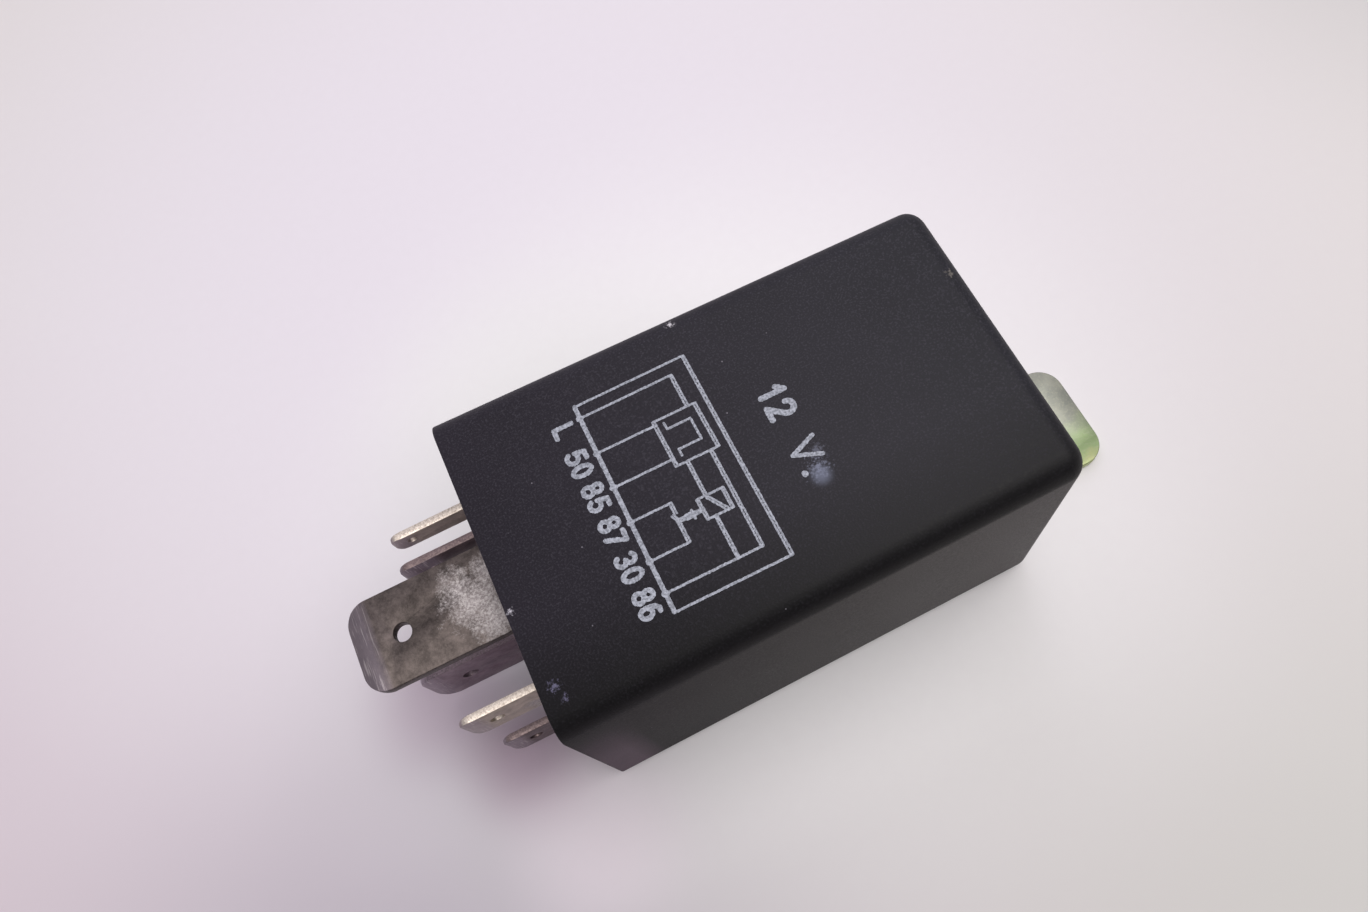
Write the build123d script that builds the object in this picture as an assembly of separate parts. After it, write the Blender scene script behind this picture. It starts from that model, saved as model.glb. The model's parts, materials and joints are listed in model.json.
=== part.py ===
"""Plug-in timer relay: moulded case, six blades, a hinged-armature magnet and its timer board.

Millimetres. +Z is up and the relay lies on its flat back, so the printed face is on top. +X runs from the
blades to the closed end and its mounting bracket, +Y across the width. The origin is the middle of the
footprint of the whole relay, blades and bracket included. The solids are drawn with X counted from the
open face of the case, and moved to the origin when they are written.
"""

import os
from math import cos, radians, sin

from build123d import *

# Case
case_length = 54.0
case_width = 34.5
case_height = 34.0
case_wall = 1.6
end_wall = 1.8
rim_wall = 1.1  # the wall is thinner where the base plugs in
side_draft = 1.0  # each side comes in by this much over the length
front_draft = 0.3  # the printed face comes down by this much
long_edge_radius = 2.6
end_edge_radius = 2.0
inner_edge_radius = 0.8

# Base that closes the case and holds the blades
base_recess = 0.6
base_thickness = 3.0
base_clearance = 0.1
sleeve_height = 1.0
sleeve_wall = 0.8
well_depth = 0.5
well_margin = 0.6
post_radius = 1.5
stake_radius = 0.6
stake_height = 0.8
snap_length = 12.0
snap_width = 1.0
snap_height = 0.3
slot_clearance = 0.05

# Blades: 87 lies flat, the other heavy one and the four light ones stand on edge
heavy_width = 9.5
heavy_thickness = 1.2
heavy_reach = 15.6
heavy_bevel = 2.1
heavy_corner_radius = 2.4
heavy_hole_radius = 0.95
heavy_hole_setback = 5.0
blade_87_rise = 11.6  # above the middle of the case
blade_30_rise = -8.5
blade_30_inner_width = 7.0
blade_30_fold = 3.7  # sideways, from the middle of the blade to the edge of its fold
light_width = 6.3
lamp_width = 2.8
light_thickness = 0.8
light_reach = 9.3
long_light_reach = 11.6
light_bevel = 1.3
light_corner_radius = 1.2
lamp_corner_radius = 0.8
light_hole_radius = 0.75
lamp_hole_radius = 0.5
light_hole_setback = 3.2
lamp_hole_setback = 2.0
light_offset = 10.2  # sideways from the middle of the case
blade_86_rise = 7.45
blade_85_rise = -7.45
blade_50_rise = -0.6
lamp_rise = 9.0
tip_share = 0.2  # of the thickness, left above and below the middle at the tip
knee_share = 0.4
knee_place = 0.4  # along the bevel, where its slope changes
shoulder_step = 0.9
shoulder_length = 1.0
tail_width = 2.4
lamp_tail_width = 1.6
tail_end = 0.8  # past the board

# Wires and leads are drawn with flats, so that their meshes stay light
wire_sides = 6

# Timer board
board_gap = 0.4
board_thickness = 1.6
board_edge_clearance = 0.4
board_slot_clearance = 0.2
notch_clearance = 0.4
lead_radius = 0.25
lead_hole_radius = 0.4
lead_end = 0.6  # past the board

# Magnet
frame_gap = 0.8  # from the board to the flange of blade 30
yoke_thickness = 2.0
yoke_width = 14.0
yoke_length = 33.4  # from the back of the frame to the hinge line
yoke_rise = 7.5  # above the coil's axis
yoke_bend_radius = 0.8
leg_drop = 10.0  # from the coil's axis to the middle of the yoke's long leg
foot_width = 2.4
foot_half = 0.6
foot_spread = 5.2
prong_slot = 5.6
prong_length = 2.5
core_radius = 4.0
spigot_radius = 3.0
press_clearance = 0.02
pole_radius = 5.5
pole_thickness = 1.6
bobbin_clearance = 0.05
bobbin_wall = 0.85
flange_thickness = 1.1
flange_half = 7.0
flange_radius = 1.5
flange_gap = 0.2
winding_radius = 6.7
pin_half = 0.35
pin_spread = 8.3
pin_drop = 4.4

# Armature and contacts
plate_thickness = 1.6
plate_width = 13.0
plate_rise = 15.5  # from the hinge line to the upper edge
plate_offset = 0.5  # from the hinge line to the inner face
pole_gap = 0.1  # left at the pole when the contacts are shut
hinge_clearance = 0.05
open_angle = 4.5
tail_thickness = 0.8
plate_tail_width = 4.0
tail_root = 1.6  # below the hinge line
tail_tip = 4.35
hook_drop = 3.2
hook_hole_radius = 0.45
land_clearance = 0.2
leaf_thickness = 0.4
leaf_width = 8.0
leaf_foot = 5.0  # above the hinge line
leaf_rise = 20.8
rivet_radius = 1.0
rivet_head_radius = 1.6
rivet_head_height = 0.6
rivet_rises = (6.6, 12.2)
contact_rise = 18.4  # above the hinge line
contact_radius = 2.0
moving_contact_height = 1.2
fixed_contact_height = 1.0
contact_shank_radius = 1.0
contact_head_radius = 1.2
contact_head_height = 0.4
contact_gap_shut = 0.02
anvil_bend_radius = 0.5
anvil_tail = 2.2  # of blade 87, past the middle of the contact
riser_side = 6.5
riser_lap = 2.6  # over the fold of blade 30
stop_rise = 8.3
stop_height = 1.8
stop_thickness = 1.6
stop_arm_thickness = 1.2
stop_side_clearance = 0.9
stop_clearance = 0.05

# Return spring
wire_radius = 0.25
coil_radius = 1.3
coil_pitch = 1.15
coil_turns = 9
turn_steps = 12  # straight lengths to a turn
hook_radius = 0.85
hook_sweep = 270
hook_steps = 9
bow_reach = 0.9  # from the last turn to where the wire is on the axis
lug_x = 10.4  # behind the frame's back face
lug_thickness = 0.8
lug_width = 4.0
lug_drop = 4.35
lug_window = 3.5

# Copper braid
braid_thickness = 1.0
braid_width = 3.0
braid_rise = 3.5  # above the coil's axis
braid_side = 8.1
braid_loop_radius = 2.6
braid_overrun = 3.9  # past the hinge line
ear_side = 9.0
ear_margin = 0.5

# Timer parts
cap_radius = 3.15
cap_length = 11.0
small_cap_radius = 2.5
small_cap_length = 9.5
cap_edge = 0.4
cap_standoff = 0.3
chip_length = 9.4
chip_width = 6.3
chip_height = 3.2
chip_standoff = 0.5
chip_leg_pitch = 2.54
chip_leg_width = 0.5
chip_leg_thickness = 0.25
can_radius = 2.3
can_height = 4.6
can_standoff = 1.5
resistor_radius = 1.15
resistor_length = 5.4
diode_radius = 1.2
diode_length = 4.0
lead_bend = 0.7

# Bracket
bracket_thickness = 1.2
bracket_width = 13.6
bracket_side = -2.2
bracket_reach = 15.4
bracket_height = 17.0
bracket_bend_radius = 1.0
bracket_corner_radius = 3.0
bracket_hole_radius = 2.65
bracket_hole_setback = 7.0
bracket_rivet_rise = 10.0
bracket_rivet_radius = 1.6
bracket_rivet_head = 3.0
bracket_rivet_dome = 1.4
washer_radius = 3.2
washer_thickness = 0.8
dome_steps = 4
rivet_tail_radius = 2.4
rivet_tail_height = 0.8
rivet_hole_clearance = 0.05

# Places worked out from the sizes
open_face_x = heavy_reach - (heavy_reach + case_length + bracket_reach) / 2
middle_z = case_height / 2
base_back = base_recess + base_thickness
shoulder_x = base_back + sleeve_height
board_x = shoulder_x + shoulder_length + board_gap
board_face = board_x + board_thickness
yoke_x = board_face + frame_gap + heavy_thickness
hinge_x = yoke_x + yoke_length
hinge_z = middle_z - leg_drop
leg_top = hinge_z + yoke_thickness / 2
pole_face = hinge_x + plate_offset - pole_gap
contact_z = hinge_z + contact_rise
leaf_inner = hinge_x + plate_offset + plate_thickness
leaf_outer = leaf_inner + leaf_thickness
contact_face = leaf_inner - moving_contact_height
anvil_face = contact_face - fixed_contact_height - contact_gap_shut
anvil_x = anvil_face - heavy_thickness / 2
front_flange_end = min(pole_face - pole_thickness, anvil_face - heavy_thickness) - flange_gap
rear_flange_start = yoke_x + yoke_thickness + flange_gap
hook_z = hinge_z - hook_drop
light_blades = {
    "blade_86": (-light_offset, blade_86_rise, light_width, light_reach, tail_width),
    "blade_85": (-light_offset, blade_85_rise, light_width, light_reach, tail_width),
    "blade_50": (light_offset, blade_50_rise, light_width, long_light_reach, tail_width),
    "blade_lamp": (light_offset, lamp_rise, lamp_width, light_reach, lamp_tail_width),
}
blade_30_z = middle_z + blade_30_rise
inner_30_top = blade_30_z + heavy_width / 2


def block(x0, x1, y0, y1, z0, z1):
    """A box between two opposite corners."""
    return Pos((x0 + x1) / 2, (y0 + y1) / 2, (z0 + z1) / 2) * Box(x1 - x0, y1 - y0, z1 - z0)


def rod(x0, x1, y, z, radius):
    """A cylinder along X."""
    return Pos((x0 + x1) / 2, y, z) * Rot(0, 90, 0) * Cylinder(radius, x1 - x0)


def cross_rod(x, y0, y1, z, radius):
    """A cylinder along Y."""
    return Pos(x, (y0 + y1) / 2, z) * Rot(90, 0, 0) * Cylinder(radius, y1 - y0)


def lead(x0, x1, y, z, radius=lead_radius):
    """A component lead along X, or with a wider radius its hole, with flats for a light mesh."""
    return extrude(Plane.YZ.offset(x0) * Pos(y, z) * RegularPolygon(radius, wire_sides), x1 - x0)


def strip(points, radius, thickness, width):
    """A bent strip: its centre line is given in the XZ plane, its width lies along Y."""
    corners = [Vector(x, 0, z) for x, z in points]
    path = FilletPolyline(*corners, radius=radius)
    start = Plane(origin=corners[0], x_dir=(0, 1, 0), z_dir=corners[1] - corners[0])
    return sweep(start * Rectangle(width, thickness), path=path)


def opened(shape):
    """A piece of the armature, drawn with the contacts shut, turned back to its place at rest."""
    return Pos(hinge_x, 0, hinge_z) * Rot(0, open_angle, 0) * Pos(-hinge_x, 0, -hinge_z) * shape


def opened_point(x, z):
    """Where a point of the shut armature lies at rest."""
    turn = radians(open_angle)
    along = (x - hinge_x) * cos(turn) + (z - hinge_z) * sin(turn)
    up = (z - hinge_z) * cos(turn) - (x - hinge_x) * sin(turn)
    return hinge_x + along, hinge_z + up


def drafted_block(inset, start, end, edge_radius, end_radius=0.0):
    """The tapered block of the case, set in on all sides, between two places along its length."""

    def half_width(x):
        return case_width / 2 - side_draft * x / case_length - inset

    def top(x):
        return case_height - front_draft * x / case_length - inset

    plan = Polyline(
        (start, -half_width(start)), (end, -half_width(end)), (end, half_width(end)),
        (start, half_width(start)), close=True,
    )
    side = Plane.XZ * Polyline((start, inset), (end, inset), (end, top(end)), (start, top(start)), close=True)
    body = extrude(make_face(plan), case_height) & extrude(make_face(side), case_width, both=True)
    long_edges = [e for e in body.edges() if abs(e.tangent_at(0.5).X) > 0.9]
    body = fillet(long_edges, edge_radius)
    if end_radius:
        body = fillet(body.faces().sort_by(Axis.X)[-1].edges(), end_radius)
    return body


def side_at(x, inset):
    """Half width of the tapered block at one place."""
    return case_width / 2 - side_draft * x / case_length - inset


def snap_places():
    """Middle of each snap along X and Z, and the side it is on."""
    return [((base_recess + base_back) / 2, middle_z, side) for side in (-1, 1)]


def make_cover():
    body = drafted_block(0, 0, case_length, long_edge_radius, end_edge_radius)
    body -= drafted_block(case_wall, base_back, case_length - end_wall, inner_edge_radius)
    body -= drafted_block(rim_wall, -1, base_back, long_edge_radius - rim_wall)
    for x, z, side in snap_places():
        wall = side * side_at(x, rim_wall)
        pocket = Box(snap_width + 2 * base_clearance, 2 * (snap_height + base_clearance), snap_length + 1)
        body -= Pos(x, wall, z) * pocket
    body -= rod(case_length - 2 * end_wall, case_length + 1, bracket_side, bracket_rivet_rise,
                bracket_rivet_radius + rivet_hole_clearance)
    return body


def blade_sections(grow):
    """Each blade's cross-section at the base, as (y, z, size along Y, size along Z), grown all round."""
    found = [
        (0, middle_z + blade_87_rise, heavy_width + 2 * grow, heavy_thickness + 2 * grow),
        (0, blade_30_z, heavy_thickness + 2 * grow, heavy_width + 2 * grow),
    ]
    for y, rise, width, _, _ in light_blades.values():
        found.append((y, middle_z + rise, light_thickness + 2 * grow, width + 2 * grow))
    return found


def section_blocks(x0, x1, grow):
    return [block(x0, x1, y - w / 2, y + w / 2, z - h / 2, z + h / 2) for y, z, w, h in blade_sections(grow)]


def post_places():
    """Middle of each post that carries the board, as (y, z)."""
    upper = middle_z + 11.2
    outer = side_at(0, case_wall) - 2.75
    return [(-outer, upper), (outer, upper), (-outer, middle_z - 5.1), (outer, middle_z - 2.8)]


def make_base_plate():
    inset = rim_wall + base_clearance
    plate = drafted_block(inset, base_recess, base_back, long_edge_radius - inset)
    room = drafted_block(case_wall + base_clearance, base_recess, board_x, inner_edge_radius)
    for x, z, side in snap_places():
        bead = extrude(
            Plane.XY.offset(z - snap_length / 2) * Pos(x, side * side_at(x, inset))
            * Ellipse(snap_width / 2, snap_height), snap_length,
        )
        plate += bead
    for sleeve in section_blocks(base_back, shoulder_x, slot_clearance + sleeve_wall):
        plate += sleeve & room
    for y, z in post_places():
        plate += rod(base_back, board_x, y, z, post_radius)
        plate += rod(board_x, board_face + stake_height, y, z, stake_radius)
    for well in section_blocks(0, base_recess + well_depth, well_margin):
        plate -= well
    for slot in section_blocks(0, shoulder_x + 1, slot_clearance):
        plate -= slot
    for y, rise, width, _, _ in light_blades.values():
        plate -= block(shoulder_x, board_x, y - light_thickness / 2 - slot_clearance,
                       y + light_thickness / 2 + slot_clearance, middle_z + rise - width / 2 - shoulder_step,
                       middle_z + rise + width / 2 + shoulder_step)
    return plate


def tip_cuts(reach, width, thickness, bevel, hole_radius, setback):
    """What the press takes off a blade's tip, with the blade flat in XY: the hole and two coined bevels."""
    cuts = [Pos(setback - reach, 0, 0) * Cylinder(hole_radius, 2 * thickness)]
    for side in (-1, 1):
        profile = Plane.XZ * Polyline(
            (-reach - 1, side * thickness * tip_share), (-reach, side * thickness * tip_share),
            (-reach + bevel * knee_place, side * thickness * knee_share),
            (-reach + bevel, side * thickness / 2), (-reach + bevel, side * thickness),
            (-reach - 1, side * thickness), close=True,
        )
        cuts.append(extrude(make_face(profile), width, both=True))
    return cuts


def flat_blade(width, thickness, reach, corner, bevel, hole_radius, setback):
    """A straight blade flat in XY, from its tip to the shoulders that stop it at the base."""
    end = shoulder_x + shoulder_length
    blade = block(-reach, end, -width / 2, width / 2, -thickness / 2, thickness / 2)
    blade = fillet(blade.edges().filter_by(Axis.Z).sort_by(Axis.X)[:2], corner)
    blade += block(shoulder_x, end, -width / 2 - shoulder_step, width / 2 + shoulder_step, -thickness / 2,
                   thickness / 2)
    for cut in tip_cuts(reach, width, thickness, bevel, hole_radius, setback):
        blade -= cut
    return blade


def make_light_blade(y, rise, width, reach, tail):
    lamp = width < light_width
    corner = lamp_corner_radius if lamp else light_corner_radius
    hole = lamp_hole_radius if lamp else light_hole_radius
    setback = lamp_hole_setback if lamp else light_hole_setback
    blade = flat_blade(width, light_thickness, reach, corner, light_bevel, hole, setback)
    blade += block(shoulder_x, board_face + tail_end, -tail / 2, tail / 2, -light_thickness / 2,
                   light_thickness / 2)
    return Pos(0, y, middle_z + rise) * Rot(90, 0, 0) * blade


def heavy_blade():
    return flat_blade(heavy_width, heavy_thickness, heavy_reach, heavy_corner_radius, heavy_bevel,
                      heavy_hole_radius, heavy_hole_setback)


def make_blade_87():
    """Runs over the coil and turns down to hold the fixed contact."""
    level = middle_z + blade_87_rise
    drop = level - (contact_z - anvil_tail)
    inner = strip([(shoulder_x, 0), (anvil_x, 0), (anvil_x, -drop)], anvil_bend_radius + heavy_thickness / 2,
                  heavy_thickness, heavy_width)
    blade = Pos(0, 0, level) * (heavy_blade() + inner)
    return blade - rod(anvil_x - heavy_thickness, anvil_x + heavy_thickness, 0, contact_z,
                       contact_shank_radius + press_clearance)


def make_blade_30():
    """Stands on edge and folds sideways to lie on the yoke's back, with a riser to the braid's ear."""
    flange_x = yoke_x - heavy_thickness / 2
    back = yoke_x - heavy_thickness
    bend = anvil_bend_radius + heavy_thickness / 2
    inner = strip([(shoulder_x, 0), (flange_x, 0), (flange_x, -blade_30_fold)], bend, heavy_thickness,
                  blade_30_inner_width)
    blade = heavy_blade() + Pos(0, (heavy_width - blade_30_inner_width) / 2, 0) * inner
    blade = Pos(0, 0, blade_30_z) * Rot(90, 0, 0) * blade
    ear_z = middle_z + braid_rise
    ear_top = ear_z + braid_width / 2 + ear_margin
    blade += block(back, yoke_x, bend, riser_side, inner_30_top - riser_lap, ear_top)
    return blade + block(back, yoke_x, bend, ear_side, ear_z - braid_width / 2 - ear_margin, ear_top)


def foot_places():
    """Middle of each foot of the yoke, as (y, z)."""
    return [(-foot_spread, hinge_z + 2.4), (foot_spread, hinge_z + 2.4)]


def make_yoke():
    back = yoke_x + yoke_thickness / 2
    body = strip(
        [(back, middle_z + yoke_rise), (back, hinge_z), (hinge_x, hinge_z)],
        yoke_bend_radius + yoke_thickness / 2, yoke_thickness, yoke_width,
    )
    body += cross_rod(hinge_x, -yoke_width / 2, yoke_width / 2, hinge_z, yoke_thickness / 2)
    body -= block(hinge_x - prong_length, hinge_x + yoke_thickness, -prong_slot / 2, prong_slot / 2,
                  hinge_z - yoke_thickness, hinge_z + yoke_thickness)
    body -= rod(yoke_x - 1, yoke_x + yoke_thickness + 1, 0, middle_z, spigot_radius + press_clearance)
    for y, z in foot_places():
        body += block(board_x, back, y - foot_width / 2, y + foot_width / 2, z - foot_half, z + foot_half)
    lug_start = yoke_x + lug_x - lug_thickness / 2
    window_start = lug_start + lug_thickness
    lug = block(lug_start, window_start, -lug_width / 2, lug_width / 2, hinge_z - lug_drop, hinge_z)
    body -= block(window_start, window_start + lug_window, -lug_width / 2, lug_width / 2,
                  hinge_z - yoke_thickness, hinge_z + yoke_thickness)
    lug -= rod(yoke_x + lug_x - 1, yoke_x + lug_x + 1, 0, hook_z, hook_hole_radius)
    return body + lug


def make_core():
    spigot = rod(yoke_x, yoke_x + yoke_thickness, 0, middle_z, spigot_radius)
    shank = rod(yoke_x + yoke_thickness, pole_face - pole_thickness, 0, middle_z, core_radius)
    head = rod(pole_face - pole_thickness, pole_face, 0, middle_z, pole_radius)
    core = spigot + shank + head
    return chamfer(core.faces().sort_by(Axis.X)[-1].edges(), 0.3)


def stop_x():
    """Where the stop bar's face stands, just behind the leaf of the open armature."""
    return opened_point(leaf_outer, hinge_z + stop_rise + stop_height)[0] + stop_clearance


def make_bobbin():
    start = rear_flange_start
    end = front_flange_end
    outline = RectangleRounded(2 * flange_half, 2 * flange_half, flange_radius)
    flange = extrude(Plane.YZ * Pos(0, middle_z) * outline, flange_thickness)
    body = rod(start, end, 0, middle_z, core_radius + bobbin_clearance + bobbin_wall)
    for x in (start, end - flange_thickness):
        body += Pos(x, 0, 0) * flange
    body += block(end - flange_thickness, end, -flange_half + 1, flange_half - 1, leg_top + bobbin_clearance,
                  middle_z)
    for side in (-1, 1):
        z = middle_z - pin_drop
        y0, y1 = sorted((side * (flange_half - 1), side * (pin_spread + 1)))
        body += block(start, start + flange_thickness, y0, y1, z - 1.2, z + 1.2)
    inner = plate_width / 2 + stop_side_clearance
    outer = inner + stop_arm_thickness
    low = hinge_z + stop_rise
    for side in (-1, 1):
        y0, y1 = sorted((side * inner, side * outer))
        body += block(end - flange_thickness, stop_x() + stop_thickness, y0, y1, low, low + stop_height)
        y0, y1 = sorted((side * (flange_half - 1), side * outer))
        body += block(end - flange_thickness, end, y0, y1, low, low + stop_height)
    body += block(stop_x(), stop_x() + stop_thickness, -outer, outer, low, low + stop_height)
    body -= rod(start - 1, end + 1, 0, middle_z, core_radius + bobbin_clearance)
    for side in (-1, 1):
        pin = pin_half + press_clearance
        y = side * pin_spread
        z = middle_z - pin_drop
        body -= block(start - 1, start + flange_thickness + 1, y - pin, y + pin, z - pin, z + pin)
    return body


def make_winding():
    start = rear_flange_start + flange_thickness
    end = front_flange_end - flange_thickness
    inner = core_radius + bobbin_clearance + bobbin_wall
    return rod(start, end, 0, middle_z, winding_radius) - rod(start - 1, end + 1, 0, middle_z, inner)


def make_coil_pins():
    z = middle_z - pin_drop
    end = rear_flange_start + flange_thickness + 1.5
    pins = [block(board_x - lead_end, end, y - pin_half, y + pin_half, z - pin_half, z + pin_half)
            for y in (-pin_spread, pin_spread)]
    return Compound(children=pins)


def make_armature():
    inner = hinge_x + plate_offset
    plate = block(inner, leaf_inner, -plate_width / 2, plate_width / 2, hinge_z - tail_root,
                  hinge_z + plate_rise)
    upper = [e for e in plate.edges().filter_by(Axis.X) if e.center().Z > hinge_z + plate_rise - 0.1]
    plate = fillet(upper, 2.0)
    plate += block(inner, inner + tail_thickness, -plate_tail_width / 2, plate_tail_width / 2,
                   hinge_z - tail_tip, hinge_z)
    groove_start = prong_slot / 2 - land_clearance
    for side in (-1, 1):
        y0, y1 = sorted((side * groove_start, side * plate_width))
        plate -= cross_rod(hinge_x, y0, y1, hinge_z, yoke_thickness / 2 + hinge_clearance)
    plate -= rod(inner - 1, leaf_inner + 1, 0, hook_z, hook_hole_radius)
    for rise in rivet_rises:
        plate -= rod(inner - 1, leaf_inner + 1, 0, hinge_z + rise, rivet_radius + press_clearance)
    return opened(plate)


def make_contact_arm():
    leaf = block(leaf_inner, leaf_outer, -leaf_width / 2, leaf_width / 2, hinge_z + leaf_foot,
                 hinge_z + leaf_rise)
    leaf = fillet(leaf.edges().filter_by(Axis.X), 1.5)
    for rise in rivet_rises:
        leaf -= rod(leaf_inner - 1, leaf_outer + 1, 0, hinge_z + rise, rivet_radius + press_clearance)
    leaf -= rod(leaf_inner - 1, leaf_outer + 1, 0, contact_z, contact_shank_radius + press_clearance)
    return opened(leaf)


def rivet_head(x, y, z, radius, height):
    """A low head that stands on the plane at x, towards +X."""
    head = rod(x, x + height, y, z, radius)
    return chamfer(head.faces().sort_by(Axis.X)[-1].edges(), height * 0.6)


def make_arm_rivets():
    rivets = []
    for rise in rivet_rises:
        z = hinge_z + rise
        shank = rod(hinge_x + plate_offset, leaf_outer, 0, z, rivet_radius)
        rivets.append(opened(shank + rivet_head(leaf_outer, 0, z, rivet_head_radius, rivet_head_height)))
    return Compound(children=rivets)


def make_moving_contact():
    button = rod(contact_face, leaf_inner, 0, contact_z, contact_radius)
    button = chamfer(button.faces().sort_by(Axis.X)[0].edges(), 0.3)
    button += rod(leaf_inner, leaf_outer, 0, contact_z, contact_shank_radius)
    button += rivet_head(leaf_outer, 0, contact_z, contact_head_radius, contact_head_height)
    return opened(button)


def make_fixed_contact():
    face = anvil_face + fixed_contact_height
    button = rod(anvil_face, face, 0, contact_z, contact_radius)
    button = chamfer(button.faces().sort_by(Axis.X)[-1].edges(), 0.3)
    back = anvil_face - heavy_thickness
    button += rod(back, anvil_face, 0, contact_z, contact_shank_radius)
    return button + rod(back - contact_head_height, back, 0, contact_z, contact_head_radius)


def spring_path():
    """The middle of the wire: the loop in the yoke's lug, the coil, the loop in the armature."""
    lug = yoke_x + lug_x
    tail_x = opened_point(hinge_x + plate_offset + tail_thickness / 2, hook_z)[0]
    length = coil_pitch * coil_turns
    start = (lug + tail_x - length) / 2
    steps = turn_steps * coil_turns
    coil = []
    for n in range(steps + 1):
        turn = radians(360 * n / turn_steps)
        coil.append((start + length * n / steps, coil_radius * sin(turn), hook_z - coil_radius * cos(turn)))
    path = hook_points(lug, 1) + [(start - bow_reach, 0, hook_z)] + coil
    return path + [(start + length + bow_reach, 0, hook_z)] + hook_points(tail_x, -1)[::-1]


def hook_points(x, side):
    """A loop through the hole at x, open toward the coil."""
    points = []
    for n in range(hook_steps + 1):
        turn = radians(90 + side * hook_sweep * (1 - n / hook_steps))
        points.append((x + hook_radius * cos(turn), 0, hook_z - hook_radius + hook_radius * sin(turn)))
    return points


def make_return_spring():
    path = Polyline(*spring_path())
    start = Plane(origin=path @ 0, x_dir=(0, 1, 0), z_dir=path % 0)
    return sweep(start * RegularPolygon(wire_radius, wire_sides), path=path, transition=Transition.RIGHT)


def make_copper_braid():
    """A flat braid from the ear of blade 30, round a slack loop, to the back of the contact arm."""
    z = middle_z + braid_rise
    turn_x = hinge_x + braid_overrun
    inner_side = braid_side - 2 * braid_loop_radius
    path = Polyline((yoke_x, braid_side, z), (turn_x, braid_side, z))
    far = (turn_x + braid_loop_radius, braid_side - braid_loop_radius, z)
    path += ThreePointArc((turn_x, braid_side, z), far, (turn_x, inner_side, z))
    path += Line((turn_x, inner_side, z), (leaf_outer, inner_side, z))
    start = Plane(origin=(yoke_x, braid_side, z), x_dir=(0, 0, 1), z_dir=(1, 0, 0))
    braid = sweep(start * Rectangle(braid_width, braid_thickness), path=path)
    side = 0.9 * braid_side - braid_thickness
    keep_out = opened(block(hinge_x, leaf_outer, -plate_width, side, 0, case_height))
    return braid - keep_out


def capacitor(y, z, radius, length):
    """A round can that stands on the board, on two leads."""
    foot = board_face + cap_standoff
    can = rod(foot, foot + length, y, z, radius)
    can = chamfer(can.faces().sort_by(Axis.X)[-1].edges(), 0.5)
    for lead_y, lead_z in capacitor_leads(y, z):
        can += lead(board_x - lead_end, foot + 0.1, lead_y, lead_z)
    return can


def capacitor_leads(y, z):
    return [(y, z - 1.25), (y, z + 1.25)]


def timing_capacitor_place():
    return -(side_at(board_face + cap_length, case_wall) - cap_edge - cap_radius), middle_z + 0.4


def supply_capacitor_place():
    return -(side_at(board_face + small_cap_length, case_wall) - cap_edge - small_cap_radius), middle_z - 11.4


def chip_place():
    """Middle of the timer chip, as (y, z)."""
    return side_at(0, case_wall) - 4.4, middle_z - 9.7


def chip_legs():
    y, z = chip_place()
    legs = []
    for row in (-1, 1):
        for n in range(4):
            legs.append((y + row * (chip_width / 2 + chip_leg_thickness), z + (n - 1.5) * chip_leg_pitch))
    return legs


def make_timer_chip():
    y, z = chip_place()
    foot = board_face + chip_standoff
    body = block(foot, foot + chip_height, y - chip_width / 2, y + chip_width / 2, z - chip_length / 2,
                 z + chip_length / 2)
    body = chamfer(body.faces().sort_by(Axis.X)[-1].edges(), 0.25)
    body -= rod(foot + chip_height - 0.3, foot + chip_height + 1, y, z + chip_length / 2, 0.8)
    for leg_y, leg_z in chip_legs():
        toward = y - leg_y
        reach = toward / abs(toward) * 2 * chip_leg_thickness
        y0, y1 = sorted((leg_y - toward / abs(toward) * chip_leg_thickness / 2, leg_y + reach))
        low, high = leg_z - chip_leg_width / 2, leg_z + chip_leg_width / 2
        body += block(foot + chip_height / 2, foot + chip_height / 2 + chip_leg_thickness, y0, y1, low, high)
        half = chip_leg_thickness / 2
        bend = foot + chip_height / 2 + chip_leg_thickness
        body += block(board_x - lead_end, bend, leg_y - half, leg_y + half, low, high)
    return body


def transistor_place():
    return side_at(0, case_wall) - 3.4, middle_z + 4.6


def transistor_leads():
    y, z = transistor_place()
    return [(y, z - 1.27), (y, z), (y, z + 1.27)]


def make_transistor():
    y, z = transistor_place()
    foot = board_face + can_standoff
    body = rod(foot, foot + can_height, y, z, can_radius)
    body -= block(foot - 1, foot + can_height + 1, y - 2 * can_radius, y - can_radius * 0.55, z - can_radius,
                  z + can_radius)
    for lead_y, lead_z in transistor_leads():
        body += lead(board_x - lead_end, foot + 0.1, lead_y, lead_z)
    return body


def axial_part(y, z, radius, length):
    """A part lying along Y on the board with a lead bent down at each end."""
    x = board_face + radius
    body = chamfer(cross_rod(x, y - length / 2, y + length / 2, z, radius).edges(), 0.3)
    reach = length / 2 + lead_bend
    for side in (-1, 1):
        corners = [(x, y, z), (x, y + side * reach, z), (board_x - lead_end, y + side * reach, z)]
        start = Plane(origin=corners[0], x_dir=(0, 0, 1), z_dir=(0, side, 0))
        section = start * RegularPolygon(lead_radius, wire_sides)
        body += sweep(section, path=Polyline(*corners), transition=Transition.RIGHT)
    return body


def resistor_places():
    side = side_at(0, case_wall) - 6.35
    return [(-side, middle_z + 13.2), (side, middle_z + 13.2), (-4.8, middle_z - 13.2)]


def diode_place():
    return 4.4, middle_z - 13.2


def axial_leads():
    found = []
    for y, z in resistor_places():
        found += [(y + side * (resistor_length / 2 + lead_bend), z) for side in (-1, 1)]
    y, z = diode_place()
    return found + [(y + side * (diode_length / 2 + lead_bend), z) for side in (-1, 1)]


def make_resistors():
    parts = [axial_part(y, z, resistor_radius, resistor_length) for y, z in resistor_places()]
    return Compound(children=parts)


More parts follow.
